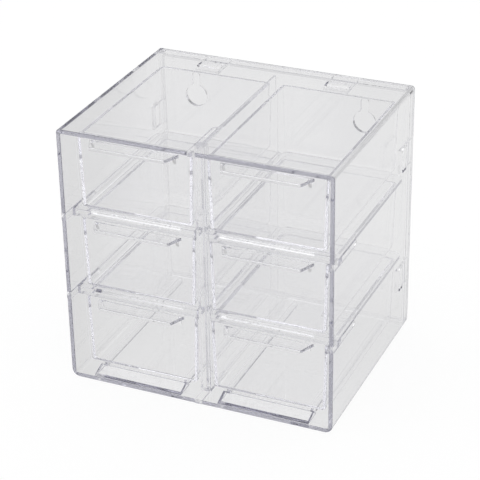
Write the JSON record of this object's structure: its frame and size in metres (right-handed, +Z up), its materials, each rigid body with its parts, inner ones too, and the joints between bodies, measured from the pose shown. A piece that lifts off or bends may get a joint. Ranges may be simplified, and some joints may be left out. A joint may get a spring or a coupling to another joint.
{
  "type": "desktop drawer organizer",
  "caption": "Clear plastic desktop cabinet: pull-out drawers with lip handles in a sleeve with slotted-in shelves and divider, and a snap-in back with keyholes.",
  "frame": {"origin": "on the surface that the case stands on, under the middle of the case", "axes": "+Z up, +X to the right as seen from the front, +Y from the front to the back; the drawers pull out along -Y"},
  "size_m": [0.17, 0.135, 0.165],
  "materials": {
    "case_clear": "crystal clear, polished",
    "drawer_clear": "crystal clear, polished"
  },
  "bodies": {
    "case": {"outer_shell": "case_clear", "back_panel": "case_clear", "upper_shelf": "case_clear", "lower_shelf": "case_clear", "centre_divider": "case_clear"},
    "drawer_top_left": {"drawer_top_left": "drawer_clear"},
    "drawer_top_right": {"drawer_top_right": "drawer_clear"},
    "drawer_middle_left": {"drawer_middle_left": "drawer_clear"},
    "drawer_middle_right": {"drawer_middle_right": "drawer_clear"},
    "drawer_bottom_left": {"drawer_bottom_left": "drawer_clear"},
    "drawer_bottom_right": {"drawer_bottom_right": "drawer_clear"}
  },
  "joints": [
    {"name": "top_left_slide", "type": "slide", "parent": "case", "child": "drawer_top_left", "axis": [0, -1, 0], "range_m": [0, 0.085]},
    {"name": "top_right_slide", "type": "slide", "parent": "case", "child": "drawer_top_right", "axis": [0, -1, 0], "range_m": [0, 0.085]},
    {"name": "middle_left_slide", "type": "slide", "parent": "case", "child": "drawer_middle_left", "axis": [0, -1, 0], "range_m": [0, 0.085]},
    {"name": "middle_right_slide", "type": "slide", "parent": "case", "child": "drawer_middle_right", "axis": [0, -1, 0], "range_m": [0, 0.085]},
    {"name": "bottom_left_slide", "type": "slide", "parent": "case", "child": "drawer_bottom_left", "axis": [0, -1, 0], "range_m": [0, 0.085]},
    {"name": "bottom_right_slide", "type": "slide", "parent": "case", "child": "drawer_bottom_right", "axis": [0, -1, 0], "range_m": [0, 0.085]}
  ]
}
